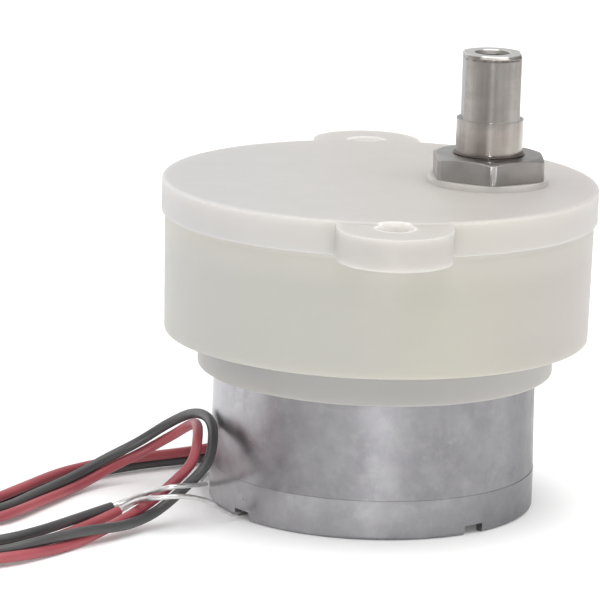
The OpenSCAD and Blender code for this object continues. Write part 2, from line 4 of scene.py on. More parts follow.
import bmesh
import bpy
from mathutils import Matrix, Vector


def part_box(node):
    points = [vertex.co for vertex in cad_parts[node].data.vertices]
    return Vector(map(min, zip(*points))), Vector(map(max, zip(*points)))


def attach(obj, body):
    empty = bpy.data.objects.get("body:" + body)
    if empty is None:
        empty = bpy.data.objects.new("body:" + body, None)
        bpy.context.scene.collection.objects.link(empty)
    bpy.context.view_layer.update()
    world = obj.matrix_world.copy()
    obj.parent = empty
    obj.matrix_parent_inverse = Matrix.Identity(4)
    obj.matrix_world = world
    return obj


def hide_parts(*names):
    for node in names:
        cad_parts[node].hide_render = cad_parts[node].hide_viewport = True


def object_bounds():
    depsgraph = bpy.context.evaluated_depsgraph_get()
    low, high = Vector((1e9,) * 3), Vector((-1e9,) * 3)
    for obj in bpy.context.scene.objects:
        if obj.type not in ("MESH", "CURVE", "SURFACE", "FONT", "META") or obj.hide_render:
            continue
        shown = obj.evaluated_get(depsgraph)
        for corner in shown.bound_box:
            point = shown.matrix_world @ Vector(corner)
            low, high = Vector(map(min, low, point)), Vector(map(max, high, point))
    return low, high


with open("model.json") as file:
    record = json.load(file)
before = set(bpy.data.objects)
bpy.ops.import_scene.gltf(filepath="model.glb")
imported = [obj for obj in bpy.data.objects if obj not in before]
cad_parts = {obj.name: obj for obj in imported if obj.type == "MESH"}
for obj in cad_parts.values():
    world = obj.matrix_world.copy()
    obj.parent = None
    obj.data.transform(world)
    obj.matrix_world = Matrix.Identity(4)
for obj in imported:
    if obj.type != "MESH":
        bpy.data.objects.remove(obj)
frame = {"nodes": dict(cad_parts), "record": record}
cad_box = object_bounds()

# The looks of the geared DC motor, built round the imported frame.  Lengths are in metres.
# +Z is the motor axis, +X points to the output shaft, and the ears lie on +Y and -Y.

MM = 0.001
NODES = frame["nodes"]
MOUNTS = {mount["name"]: mount for mount in frame["record"]["mounts"]}
SCENE = bpy.context.scene


# ---------- camera ----------

CAMERA_TARGET = Vector((-0.00897, 0, 0.02364))
CAMERA_AZIMUTH = math.radians(-2.9)
CAMERA_ELEVATION = math.radians(12.6)
CAMERA_ROLL = math.radians(1.64)
CAMERA_DISTANCE = 0.4948
CAMERA_LENS = 254
CAMERA_SENSOR = 36


def make_camera():
    flat = math.cos(CAMERA_ELEVATION)
    across = math.sin(CAMERA_AZIMUTH)
    along = math.cos(CAMERA_AZIMUTH)
    back = Vector((across * flat, -along * flat, math.sin(CAMERA_ELEVATION)))
    level = Vector((along, across, 0))
    upright = back.cross(level)
    right = math.cos(CAMERA_ROLL) * level + math.sin(CAMERA_ROLL) * upright
    up = back.cross(right)
    data = bpy.data.cameras.new("camera")
    data.lens = CAMERA_LENS
    data.sensor_width = CAMERA_SENSOR
    data.clip_start = 0.01
    data.clip_end = 20
    camera = bpy.data.objects.new("camera", data)
    SCENE.collection.objects.link(camera)
    matrix = camera.matrix_world.to_3x3()
    matrix.col[0] = right
    matrix.col[1] = up
    matrix.col[2] = back
    camera.matrix_world = matrix.to_4x4()
    camera.location = CAMERA_TARGET + back * CAMERA_DISTANCE
    SCENE.camera = camera


# ---------- node helpers ----------

class Shader:
    """A material's node tree, with short ways to add the nodes that every finish is made of."""

    def __init__(self, name):
        self.material = bpy.data.materials.new(name)
        self.material.use_nodes = True
        self.tree = self.material.node_tree
        self.bsdf = self.tree.nodes["Principled BSDF"]
        self.place = self.add("ShaderNodeTexCoord").outputs["Object"]

    def add(self, kind, **values):
        node = self.tree.nodes.new(kind)
        for name, value in values.items():
            setattr(node, name, value)
        return node

    def link(self, source, target):
        self.tree.links.new(source, target)

    def set(self, **values):
        """Values that are the same all over the surface, set on the shader's own sockets."""
        for name, value in values.items():
            self.bsdf.inputs[name.replace("_", " ")].default_value = value

    def mapping(self, scale, move):
        node = self.add("ShaderNodeMapping")
        self.link(self.place, node.inputs["Vector"])
        node.inputs["Location"].default_value = move
        node.inputs["Scale"].default_value = scale
        return node.outputs["Vector"]

    def noise(self, scale, detail=3, stretch=(1, 1, 1), move=(0, 0, 0), roughness=0.5):
        """Cloudy noise from 0 to 1.  A stretch above 1 along an axis makes it finer that way."""
        node = self.add("ShaderNodeTexNoise")
        self.link(self.mapping(stretch, move), node.inputs["Vector"])
        node.inputs["Scale"].default_value = scale
        node.inputs["Detail"].default_value = detail
        node.inputs["Roughness"].default_value = roughness
        return node.outputs["Fac"]

    def cells(self, scale):
        node = self.add("ShaderNodeTexVoronoi")
        self.link(self.place, node.inputs["Vector"])
        node.inputs["Scale"].default_value = scale
        return node

    def ramp(self, value, *stops):
        """A colour ramp through (position, colour) stops.  A single number is a grey."""
        node = self.add("ShaderNodeValToRGB")
        self.link(value, node.inputs["Fac"])
        elements = node.color_ramp.elements
        while len(elements) < len(stops):
            elements.new(0.5)
        for element, (position, colour) in zip(elements, stops):
            element.position = position
            grey = (colour,) * 3 if isinstance(colour, (int, float)) else colour
            element.color = (*grey, 1)
        return node.outputs["Color"]

    def span(self, value, low, high, from_low=0, from_high=1):
        """Takes from_low..from_high to low..high in a straight line, and stays at the ends beyond."""
        node = self.add("ShaderNodeMapRange")
        self.link(value, node.inputs["Value"])
        node.inputs["From Min"].default_value = from_low
        node.inputs["From Max"].default_value = from_high
        node.inputs["To Min"].default_value = low
        node.inputs["To Max"].default_value = high
        return node.outputs["Result"]

    def math(self, operation, a, b=None):
        node = self.add("ShaderNodeMath", operation=operation)
        for socket, value in zip(node.inputs, (a, b)):
            if value is None:
                continue
            if isinstance(value, (int, float)):
                socket.default_value = value
            else:
                self.link(value, socket)
        return node.outputs[0]

    def mix(self, factor, a, b, blend="MIX"):
        node = self.add("ShaderNodeMix", data_type="RGBA", blend_type=blend)
        for socket, value in zip((node.inputs[0], node.inputs[6], node.inputs[7]), (factor, a, b)):
            if isinstance(value, (int, float)):
                socket.default_value = value
            elif isinstance(value, tuple):
                socket.default_value = (*value, 1)
            else:
                self.link(value, socket)
        return node.outputs[2]

    def colour(self, source):
        self.link(source, self.bsdf.inputs["Base Color"])

    def roughness(self, source):
        self.link(source, self.bsdf.inputs["Roughness"])

    def bump(self, *layers):
        """Each layer is (height output, strength, distance in metres), one over the other."""
        normal = None
        for height, strength, distance in layers:
            node = self.add("ShaderNodeBump")
            node.inputs["Strength"].default_value = strength
            node.inputs["Distance"].default_value = distance
            self.link(height, node.inputs["Height"])
            if normal is not None:
                self.link(normal, node.inputs["Normal"])
            normal = node.outputs["Normal"]
        self.link(normal, self.bsdf.inputs["Normal"])

    def xyz(self):
        """The three coordinates of the place on the object."""
        split = self.add("ShaderNodeSeparateXYZ")
        self.link(self.place, split.inputs["Vector"])
        return split.outputs

    def distance(self, a, b):
        """How far (a, b) is from the origin."""
        squares = [self.math("MULTIPLY", value, value) for value in (a, b)]
        return self.math("SQRT", self.math("ADD", *squares))


# ---------- materials ----------

# The case's underside is level with the foot of the front bearing
CASE_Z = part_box("front_bearing")[0].z
CASE_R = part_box("gearbox_case")[1].x
LID_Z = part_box("gearbox_case")[1].z
TOP_Z = MOUNTS["lid_face"]["pos_m"][2]
EAR_HOLE_Y = MOUNTS["ear_holes"]["dims"]["spacing_y_mm"] / 2 * MM
EAR_HOLE_R = MOUNTS["ear_holes"]["dims"]["hole_r_mm"] * MM
# The seam between the end cup and the can
SEAM_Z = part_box("end_cup")[1].z
CAN_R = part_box("motor_can")[1].x
SHAFT_X = (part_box("output_shaft")[0].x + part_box("output_shaft")[1].x) / 2
SHAFT_TOP_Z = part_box("output_shaft")[1].z
FLATS_Z = SHAFT_TOP_Z - 7.7 * MM
FLAT_X = 3.25 * MM
# The hole in the shaft's end, with the chamfer at its mouth
HOLE_R = MOUNTS["shaft_thread"]["dims"]["r_mm"] * MM + 0.4 * MM
# Where the painted dark reflection runs down the shaft, in radians round it from its front
DARK_REFLECTION_TURN = -0.1


def case_plastic():
    """Warm white moulding, slightly translucent, with painted shade that changes from side to side, painted
    light along its top under the lid, and painted shade on the neck round the can, under the case's overhang
    and over the dark can behind the thin wall.
    """
    s = Shader("case_plastic")
    x, _, z = s.xyz()
    across = s.span(x, 0, 1, 1 * MM - CASE_R, CASE_R - 1 * MM)
    # Painted shade that changes from side to side across the case
    tint = s.ramp(across, (0, (0.428, 0.427, 0.402)), (0.42, (0.436, 0.427, 0.386)),
                  (0.6, (0.447, 0.434, 0.377)), (0.8, (0.432, 0.411, 0.37)), (1, (0.446, 0.412, 0.385)))
    flow = s.ramp(s.noise(60, 4, stretch=(1, 1, 2.2)), (0.3, 0.955), (0.75, 1.0))
    moulding_with_painted_light = s.mix(1, tint, flow, "MULTIPLY")
    # Painted light along the case's top under the lid, and more along its top edge, against the shade of the
    # lid's overhang
    top = s.span(z, 0, 1, LID_Z - 4 * MM, LID_Z)
    moulding_with_painted_light = s.mix(top, moulding_with_painted_light, (0.482, 0.462, 0.42))
    moulding_with_painted_light = s.mix(s.span(z, 0, 1, LID_Z - 0.6 * MM, LID_Z - 0.2 * MM), moulding_with_painted_light, (0.55, 0.53, 0.485))
    # Painted shade on the neck round the can, under the case's overhang and over the dark can behind the thin
    # wall, changing from side to side
    neck = s.span(z, 1, 0, CASE_Z - 0.9 * MM, CASE_Z + 0.3 * MM)
    neck_shade = s.ramp(across, (0.2, (0.368, 0.36, 0.35)), (0.5, (0.335, 0.327, 0.317)),
                 (0.8, (0.388, 0.376, 0.36)))
    s.colour(s.mix(neck, moulding_with_painted_light, neck_shade))
    s.roughness(s.span(s.noise(420, 2), 0.36, 0.48))
    s.bump((s.noise(5200, 2), 0.08, 0.00002), (s.noise(90, 2), 0.10, 0.0002))
    s.set(Subsurface_Weight=0.5, Subsurface_Radius=(1.0, 0.92, 0.75), Subsurface_Scale=0.003, IOR=1.5)
    return s.material


def lid_plastic():
    """Milky moulding with painted light and shade: its flat top painted greyer than its rim, the rim painted
    darker at the ears, painted light inside the ear holes, and painted shade that changes from side to side.
    """
    s = Shader("lid_plastic")
    x, y, z = s.xyz()
    out = s.math("ABSOLUTE", y)
    # Painted light: the rim lighter than the flat top, and darker at the ears
    ears = s.span(out, 0, 1, CASE_R - 1 * MM, CASE_R + 1 * MM)
    rim = s.mix(ears, (0.51, 0.50, 0.48), (0.46, 0.45, 0.437))
    top = s.span(z, 0, 1, TOP_Z - 0.26 * MM, TOP_Z - 0.05 * MM)
    milky_with_painted_light = s.mix(top, rim, (0.447, 0.437, 0.425))
    # Painted light inside the ear holes
    hole = s.distance(x, s.math("SUBTRACT", out, EAR_HOLE_Y))
    milky_with_painted_light = s.mix(s.span(hole, 1, 0, EAR_HOLE_R, EAR_HOLE_R + 0.5 * MM), milky_with_painted_light, (0.72, 0.71, 0.7))
    # Painted shade that changes from side to side across the lid
    tint = s.ramp(s.span(x, 0, 1, -CASE_R, CASE_R), (0, (0.975, 0.97, 1.0)), (0.35, (1.0, 0.988, 0.975)),
                  (0.68, (1.0, 0.972, 0.93)), (1, (1.0, 0.965, 0.96)))
    milky_with_painted_light = s.mix(1, milky_with_painted_light, tint, "MULTIPLY")
    s.colour(s.mix(1, milky_with_painted_light, s.ramp(s.noise(45, 3), (0.3, 0.95), (0.7, 1.0)), "MULTIPLY"))
    s.roughness(s.span(s.noise(300, 2), 0.4, 0.52))
    s.bump((s.noise(5200, 2), 0.06, 0.00002), (s.noise(80, 2), 0.12, 0.00025))
    s.set(Subsurface_Weight=0.6, Subsurface_Radius=(1.0, 0.95, 0.9), Subsurface_Scale=0.004, IOR=1.5)
    return s.material


def can_steel():
    """Zinc-plated drawn steel: dull, with a mottled bloom, small scuffs and faint drawing lines.  Painted
    light and shade change from side to side on the can and on the end cup below its seam, lighter at the left
    and darker at the right, with a painted highlight down the can's front.  The end cup is painted a little
    lighter all over."""
    s = Shader("can_steel")
    cloud = s.noise(260, 5, roughness=0.6)
    bloom = s.noise(480, 4, move=(3, 1, 2), roughness=0.7)
    lines = s.noise(40, 3, stretch=(1, 1, 40))
    tint = s.ramp(cloud, (0.3, (0.3, 0.294, 0.312)), (0.5, (0.35, 0.344, 0.362)), (0.7, (0.405, 0.4, 0.415)))
    tint = s.mix(s.span(bloom, 0, 0.5, 0.5, 0.7), tint, (0.45, 0.448, 0.448))
    x, _, z = s.xyz()
    # Painted light on the end cup below the seam
    rim = s.span(z, 0.12, 0, SEAM_Z - 0.3 * MM, SEAM_Z + 0.3 * MM)
    tint = s.mix(rim, tint, (0.6, 0.6, 0.61))
    # Painted light and shade from side to side: lighter at the left, a painted highlight down the can's
    # front, darker at the right
    across = s.span(x, 0, 1, -CAN_R, CAN_R)
    can = s.ramp(across, (0, 1.12), (0.11, 1.05), (0.235, 0.66), (0.4, 0.69), (0.5, 0.79), (0.6, 0.72),
                 (0.88, 0.74), (0.97, 0.4))
    cup = s.ramp(across, (0, 1.1), (0.27, 0.88), (0.5, 0.78), (0.7, 0.8), (0.97, 0.5))
    side = s.mix(s.span(z, 0, 1, SEAM_Z - 0.05 * MM, SEAM_Z + 0.05 * MM), cup, can)
    tint = s.mix(1, tint, side, "MULTIPLY")
    spangle = s.ramp(s.cells(900).outputs["Color"], (0.1, 0.95), (0.9, 1.0))
    s.colour(s.mix(1, tint, spangle, "MULTIPLY"))
    s.roughness(s.span(s.noise(260, 5), 0.27, 0.4, 0.3, 0.7))
    s.bump((lines, 0.04, 0.00002), (bloom, 0.14, 0.00004), (s.noise(60, 2), 0.12, 0.0003))
    s.set(Metallic=1)
    return s.material


def dark_steel():
    """Machined dark steel of the bush, with fine marks on its flats, and painted shade across it that dims
    its front corner, with painted light at its sides, most at its left.
    """
    s = Shader("dark_steel")
    x = s.xyz()[0]
    cloud = s.ramp(s.noise(260, 4), (0.3, (0.285, 0.277, 0.268)), (0.7, (0.42, 0.412, 0.4)))
    # Painted shade across the bush that dims its front corner, with painted light at its sides
    across = s.span(x, 0, 1, SHAFT_X - 7 * MM, SHAFT_X + 7 * MM)
    side = s.ramp(across, (0, 1.0), (0.42, 0.86), (0.5, 0.7), (0.6, (0.62, 0.595, 0.58)),
                  (1, (0.95, 0.9, 0.88)))
    s.colour(s.mix(1, cloud, side, "MULTIPLY"))
    s.roughness(s.span(s.noise(700, 3), 0.26, 0.4))
    s.bump((s.noise(300, 2, stretch=(1, 1, 14)), 0.10, 0.00003), (s.noise(2400, 2), 0.12, 0.00002))
    s.set(Metallic=1)
    return s.material


def shaft_steel():
    """Turned steel: streaks along it, faint rings round it, a broad painted dark reflection down its front,
    and a broken line of painted shade under the chamfer at its end.  It is lighter below its flats, which are
    duller; its end face has painted light and its hole painted shade."""
    s = Shader("shaft_steel")
    x, y, z = s.xyz()
    side = s.math("SUBTRACT", x, SHAFT_X)
    rings = s.noise(60, 3, stretch=(1, 1, 40))
    streaks = s.noise(520, 3, stretch=(1, 1, 0.04), roughness=0.6)
    tint = s.ramp(streaks, (0.3, (0.235, 0.218, 0.202)), (0.5, (0.345, 0.326, 0.305)),
                  (0.7, (0.455, 0.436, 0.412)))
    tint = s.mix(0.12, tint, s.ramp(rings, (0.35, 0.24), (0.65, 0.4)))
    blotch = s.ramp(s.noise(420, 4, roughness=0.65), (0.35, (0.86, 0.83, 0.81)), (0.62, 1.0))
    tint = s.mix(1, tint, blotch, "MULTIPLY")
    # Painted dark reflection down the shaft's front, weaker below the flats
    turn = s.math("ARCTAN2", side, s.math("MULTIPLY", y, -1))
    off_dark_reflection = s.math("ABSOLUTE", s.math("SUBTRACT", turn, DARK_REFLECTION_TURN))
    upper = s.span(z, 0, 1, FLATS_Z - 1 * MM, FLATS_Z)
    painted_dark_reflection = s.math("MULTIPLY", s.span(off_dark_reflection, 0.8, 0, 0.12, 0.7), s.span(upper, 0.72, 1))
    tint = s.mix(painted_dark_reflection, tint, (0.115, 0.106, 0.097))
    tint = s.mix(s.math("SUBTRACT", 1, upper), tint, (1.14, 1.11, 1.09), "MULTIPLY")
    beyond = s.span(s.math("ABSOLUTE", side), 0, 1, FLAT_X - 0.1 * MM, FLAT_X - 0.03 * MM)
    flat = s.math("MULTIPLY", beyond, s.span(z, 0, 1, FLATS_Z - 0.15 * MM, FLATS_Z - 0.05 * MM))
    tint = s.mix(flat, tint, (0.4, 0.395, 0.395))
    # Painted light on the shaft's end face
    end = s.span(z, 0, 1, SHAFT_TOP_Z - 0.12 * MM, SHAFT_TOP_Z - 0.04 * MM)
    tint = s.mix(end, tint, (0.62, 0.61, 0.59))
    # Painted shade inside the shaft's hole
    hole = s.span(s.distance(side, y), 1, 0, HOLE_R - 0.05 * MM, HOLE_R + 0.05 * MM)
    tint = s.mix(hole, tint, (0.2, 0.19, 0.18))
    # A broken line of painted shade under the chamfer at the shaft's end
    below_end = s.math("ABSOLUTE", s.math("SUBTRACT", z, SHAFT_TOP_Z - 0.55 * MM))
    broken = s.span(s.noise(700, 2), 0, 1, 0.42, 0.55)
    line = s.math("MULTIPLY", s.span(below_end, 0.8, 0, 0.05 * MM, 0.16 * MM), broken)
    s.colour(s.mix(line, tint, (0.06, 0.055, 0.05)))
    dull_places = s.math("MULTIPLY", s.math("MAXIMUM", flat, hole), 0.55)
    s.roughness(s.math("MAXIMUM", s.span(s.noise(500, 3), 0.14, 0.24), dull_places))
    s.bump((rings, 0.06, 0.00002), (streaks, 0.08, 0.00002))
    s.set(Metallic=1)
    return s.material


def metal(name, low, high, rough):
    """A turned metal with a cloudy tint, patchy roughness, fine grain and rings round the Z axis."""
    s = Shader(name)
    s.colour(s.ramp(s.noise(240, 3), (0.3, low), (0.7, high)))
    s.roughness(s.span(s.noise(500, 3), rough - 0.06, rough + 0.08))
    s.bump((s.noise(900, 3), 0.12, 0.00004), (s.noise(60, 2, stretch=(1, 1, 30)), 0.1, 0.00003))
    s.set(Metallic=1)
    return s.material


def dull(name, low, high, rough, grain=1400, shine=0.5, subsurface=0):
    """A plastic, resin or ceramic with slight colour change and a fine grain."""
    s = Shader(name)
    s.colour(s.ramp(s.noise(180, 3), (0.3, low), (0.7, high)))
    s.roughness(s.span(s.noise(600, 3), rough - 0.05, rough + 0.08))
    s.bump((s.noise(grain, 3), 0.15, 0.00004))
    s.set(Specular_IOR_Level=shine)
    if subsurface:
        s.set(Subsurface_Weight=subsurface, Subsurface_Radius=(1, 0.95, 0.85), Subsurface_Scale=0.0015)
    return s.material


def pores(name, low, high, rough):
    """Sintered metal: small dark pores in an oiled, dull surface."""
    s = Shader(name)
    holes = s.cells(2600).outputs["Distance"]
    dark = tuple(0.35 * value for value in low)
    s.colour(s.ramp(holes, (0.12, dark), (0.3, low), (0.7, high)))
    s.roughness(s.span(s.noise(500, 3), rough - 0.08, rough + 0.08))
    s.bump((holes, 0.25, 0.00004))
    s.set(Metallic=1)
    return s.material


def insulation(name, dark, light, rough, shine):
    """Flexible insulation: a soft shine in patches, slight unevenness along it, and a fine grain."""
    s = Shader(name)
    s.colour(s.ramp(s.noise(120, 3), (0.3, dark), (0.7, light)))
    s.roughness(s.span(s.noise(260, 3), rough - 0.06, rough + 0.1))
    s.bump((s.noise(420, 2), 0.14, 0.0001), (s.noise(4200, 2), 0.08, 0.00002))
    s.set(Specular_IOR_Level=shine, Coat_Weight=0.12, Coat_Roughness=0.3)
    return s.material


def copper_wire():
    """Enamelled copper wire wound side by side: ridges along the height of each coil, with painted shade
    between the turns and a painted highlight on their crowns.
    """
    s = Shader("copper")
    turns = s.add("ShaderNodeTexWave", bands_direction="Z")
    s.link(s.place, turns.inputs["Vector"])
    turns.inputs["Scale"].default_value = 900
    turns.inputs["Distortion"].default_value = 0.6
    wave = turns.outputs["Fac"]
    # Painted shade between the turns and a painted highlight on their crowns
    s.colour(s.ramp(wave, (0.1, (0.16, 0.05, 0.02)), (0.5, (0.52, 0.2, 0.08)), (0.9, (0.66, 0.32, 0.16))))
    s.roughness(s.span(s.noise(500, 3), 0.2, 0.36))
    s.bump((wave, 0.5, 0.0001))
    s.set(Metallic=1)
    return s.material


def laminated_steel():
    """A stack of thin steel sheets: fine dark lines at even heights."""
    s = Shader("core_steel")
    sheets = s.add("ShaderNodeTexWave", bands_direction="Z")
    s.link(s.place, sheets.inputs["Vector"])
    sheets.inputs["Scale"].default_value = 620
    wave = sheets.outputs["Fac"]
    s.colour(s.ramp(wave, (0.05, 0.08), (0.2, 0.28), (0.9, 0.36)))
    s.roughness(s.span(s.noise(500, 3), 0.36, 0.52))
    s.bump((wave, 0.3, 0.00006))
    s.set(Metallic=1)
    return s.material


def tin():
    """Solder and tinned copper: bright, uneven and a little dull."""
    s = Shader("tin")
    s.colour(s.ramp(s.noise(700, 4), (0.3, (0.52, 0.51, 0.5)), (0.7, (0.76, 0.755, 0.75))))
    s.roughness(s.span(s.noise(900, 3), 0.22, 0.46))
    s.bump((s.noise(1500, 3), 0.3, 0.00008))
    s.set(Metallic=1)
    return s.material


MATERIALS = {
    "case_plastic": case_plastic(),
    "lid_plastic": lid_plastic(),
    "can_steel": can_steel(),
    "dark_steel": dark_steel(),
    "shaft_steel": shaft_steel(),
    "bronze": pores("bronze", (0.45, 0.3, 0.13), (0.6, 0.43, 0.22), 0.42),
    "bright_steel": metal("bright_steel", (0.5, 0.5, 0.51), (0.66, 0.66, 0.67), 0.26),
    "nylon": dull("nylon", (0.74, 0.73, 0.66), (0.84, 0.83, 0.78), 0.4, subsurface=0.3),
    "sintered_steel": pores("sintered_steel", (0.28, 0.28, 0.28), (0.42, 0.42, 0.41), 0.45),
    "black_plastic": dull("black_plastic", (0.012, 0.012, 0.014), (0.03, 0.03, 0.033), 0.42, grain=2400),
    "ferrite": dull("ferrite", (0.05, 0.05, 0.055), (0.1, 0.1, 0.11), 0.6, grain=1200, shine=0.7),
    "copper": copper_wire(),
    "carbon": dull("carbon", (0.02, 0.02, 0.02), (0.05, 0.05, 0.05), 0.5, grain=2600, shine=0.8),
    "tin": tin(),
    "red_insulation": insulation("red_insulation", (0.27, 0.045, 0.06), (0.38, 0.075, 0.085), 0.42, 0.5),
    "black_rubber": insulation("black_rubber", (0.035, 0.035, 0.037), (0.06, 0.06, 0.06), 0.42, 0.6),
    "brown_rubber": insulation("brown_rubber", (0.055, 0.038, 0.033), (0.085, 0.062, 0.055), 0.4, 0.5),
    "core_steel": laminated_steel(),
    "blue_coating": dull("blue_coating", (0.04, 0.1, 0.26), (0.08, 0.17, 0.4), 0.34, grain=900),
    "brown_resin": dull("brown_resin", (0.1, 0.05, 0.025), (0.2, 0.1, 0.05), 0.4),
    "brass": metal("brass", (0.6, 0.42, 0.16), (0.78, 0.6, 0.3), 0.24),
}


def finish_nodes():
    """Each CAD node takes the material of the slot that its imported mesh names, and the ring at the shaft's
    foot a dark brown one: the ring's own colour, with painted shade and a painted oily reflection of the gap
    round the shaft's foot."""
    for node in NODES.values():
        for holder in node.material_slots:
            holder.material = MATERIALS[holder.material.name.split(".")[0]]
    # A dark brown ring: its own colour, with painted shade and a painted oily reflection of the gap round the
    # shaft's foot
    NODES["shaft_ring"].material_slots[0].material = MATERIALS["brown_rubber"]


# ---------- leads ----------

# The centreline of the pair of leads, from their insulation's start to its far end
LEAD_ROUTE = [
    (-0.0302, -0.0142, 0.00190), (-0.0340, -0.0178, 0.00130), (-0.0380, -0.0230, 0.00125),
    (-0.0430, -0.0276, 0.00125), (-0.0492, -0.0296, 0.00125), (-0.0546, -0.0284, 0.00125),
    (-0.0568, -0.0240, 0.00125), (-0.0546, -0.0198, 0.00125), (-0.0492, -0.0176, 0.00125),
    (-0.0434, -0.0142, 0.00125), (-0.0389, -0.0070, 0.00125), (-0.0348, -0.0002, 0.00135),
    (-0.0310, 0.0036, 0.00260), (-0.0272, 0.0050, 0.00430), (-0.0238, 0.0044, 0.00660),
    (-0.0214, 0.0010, 0.00880), (-0.0201, -0.0040, 0.00980), (-0.0199, -0.0086, 0.00900),
    (-0.0206, -0.0115, 0.00680), (-0.0232, -0.0131, 0.00430), (-0.0262, -0.0150, 0.00220),
    (-0.0296, -0.0186, 0.00135), (-0.0337, -0.0232, 0.00125), (-0.0381, -0.0276, 0.00125),
    (-0.0430, -0.0314, 0.00125), (-0.0506, -0.0346, 0.00125), (-0.0580, -0.0342, 0.00125),
    (-0.0640, -0.0298, 0.00125), (-0.0656, -0.0228, 0.00125), (-0.0622, -0.0170, 0.00125),
    (-0.0560, -0.0148, 0.00125), (-0.0500, -0.0144, 0.00125), (-0.0454, -0.0120, 0.00125),
    (-0.0410, -0.0052, 0.00125), (-0.0366, 0.0019, 0.00125), (-0.0313, 0.0072, 0.00125),
    (-0.0259, 0.0107, 0.00125), (-0.0203, 0.0136, 0.00125), (-0.0134, 0.0186, 0.00125),
    (-0.0060, 0.0220, 0.00125),
]
# Where the red lead lies round the pair's centreline at each point of the route, in degrees:
# 0 is to the left of the way on, 90 is above, 180 to the right and -90 below.  Whole turns add up.
RED_TURN = [
    -10, -40, -75, -90, -130, -190, -260, -330, -430, -515,
    -510, -490, -465, -445, -445, -470, -520, -550, -560, -568,
    -570, -540, -470, -420, -380, -400, -440, -480, -520, -560,
    -595, -615, -625, -625, -620, -610, -600, -610, -640, -680,
]
# How far each lead's line lies from the centreline at each point, in millimetres
LEAD_SPREAD = [
    0.62, 0.62, 0.62, 0.62, 0.62, 0.62, 0.62, 0.62, 0.62, 0.62,
    0.62, 0.62, 0.62, 0.68, 0.72, 0.72, 0.8, 0.9, 0.85, 0.78,
    0.7, 0.62, 0.62, 0.62, 0.62, 0.62, 0.62, 0.62, 0.62, 0.62,
    0.62, 0.62, 0.62, 0.62, 0.62, 0.62, 0.62, 0.62, 0.62, 0.62,
]
LEAD_D = 1.2 * MM
# Steps between one point of a line and the next
STEPS = 4
# The front left notch in the motor's rim, taken as the exit of both leads
# The bare start of each lead, from its solder joint to its insulation
RED_START = [
    (-0.0126, -0.0088, 0.00060), (-0.0148, -0.0103, 0.00060), (-0.0164, -0.0115, 0.00070),
    (-0.0178, -0.0129, 0.00170), (-0.0192, -0.0146, 0.00300), (-0.0211, -0.0160, 0.00390),
    (-0.0231, -0.0170, 0.00430), (-0.0251, -0.0173, 0.00420), (-0.0269, -0.0165, 0.00380),
    (-0.0284, -0.0151, 0.00280), (-0.0295, -0.0145, 0.00190),
]
BLACK_START = [
    (-0.0089, 0.0123, 0.00060), (-0.0104, 0.0152, 0.00060), (-0.0118, 0.0167, 0.00060),
    (-0.0144, 0.0150, 0.00050), (-0.0179, 0.0106, 0.00040), (-0.0197, 0.0055, 0.00050),
    (-0.0201, 0.0005, 0.00110), (-0.0198, -0.0045, 0.00240), (-0.0198, -0.0092, 0.00370),
    (-0.0207, -0.0134, 0.00470), (-0.0223, -0.0160, 0.00530), (-0.0240, -0.0168, 0.00530),
    (-0.0257, -0.0158, 0.00460), (-0.0273, -0.0144, 0.00370), (-0.0288, -0.0135, 0.00280),
    (-0.0303, -0.0135, 0.00210),
]
# The bare far end of each lead
RED_END = [
    (-0.0059, 0.0225, 0.00140), (-0.0037, 0.0239, 0.00110), (-0.0009, 0.0249, 0.00050),
]
BLACK_END = [
    (-0.0055, 0.0217, 0.00140), (-0.0031, 0.0219, 0.00100), (-0.0005, 0.0211, 0.00050),
]
BARE_D = 0.62 * MM
# How far a bare wire goes into its lead, how much it swells there, and how uneven the solder leaves it
BARE_INSIDE = 0.5 * MM
BARE_SWELL = 0.3
BARE_RIPPLE = 0.06


def smooth(points, parts):
    """Points along a Catmull-Rom curve through the given ones."""
    ends = [2 * points[0] - points[1], *points, 2 * points[-1] - points[-2]]
    out = []
    for a, b, c, d in zip(ends, ends[1:], ends[2:], ends[3:]):
        for i in range(parts):
            t = i / parts
            out.append(((2 * b) + (c - a) * t + (2 * a - 5 * b + 4 * c - d) * t * t
                        + (3 * b - a - 3 * c + d) * t ** 3) / 2)
    out.append(points[-1])
    return out


def smooth_numbers(numbers, parts):
    return [v.x for v in smooth([Vector((n, 0, 0)) for n in numbers], parts)]


def strand_points(side):
    """The line of one lead, which winds round the pair's centreline: side is 1 for red and -1 for black."""
    centre = smooth([Vector(p) for p in LEAD_ROUTE], STEPS)
    turns = smooth_numbers(RED_TURN, STEPS)
    spreads = smooth_numbers(LEAD_SPREAD, STEPS)
    out = []
    for i, (place, turn, spread) in enumerate(zip(centre, turns, spreads)):
        ahead = (centre[min(i + 1, len(centre) - 1)] - centre[max(i - 1, 0)]).normalized()
        left = Vector((0, 0, 1)).cross(ahead).normalized()
        above = ahead.cross(left)
        angle = math.radians(turn)
        out.append(place + side * spread * MM * (math.cos(angle) * left + math.sin(angle) * above))
    return out


def wire(name, points, diameter, slot, radii=None):
    """A round wire along points, as a curve of one open spline."""
    data = bpy.data.curves.new(name, "CURVE")
    data.dimensions = "3D"
    data.bevel_depth = diameter / 2
    data.bevel_resolution = 5
    data.use_fill_caps = True
    spline = data.splines.new("NURBS")
    spline.points.add(len(points) - 1)
    for i, place in enumerate(points):
        spline.points[i].co = (*place, 1)
        spline.points[i].radius = radii[i] if radii else 1
    spline.order_u = 4
    spline.use_endpoint_u = True
    spline.resolution_u = 3
    obj = bpy.data.objects.new(name, data)
    SCENE.collection.objects.link(obj)
    data.materials.append(MATERIALS[slot])
    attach(obj, "housing")
    return obj


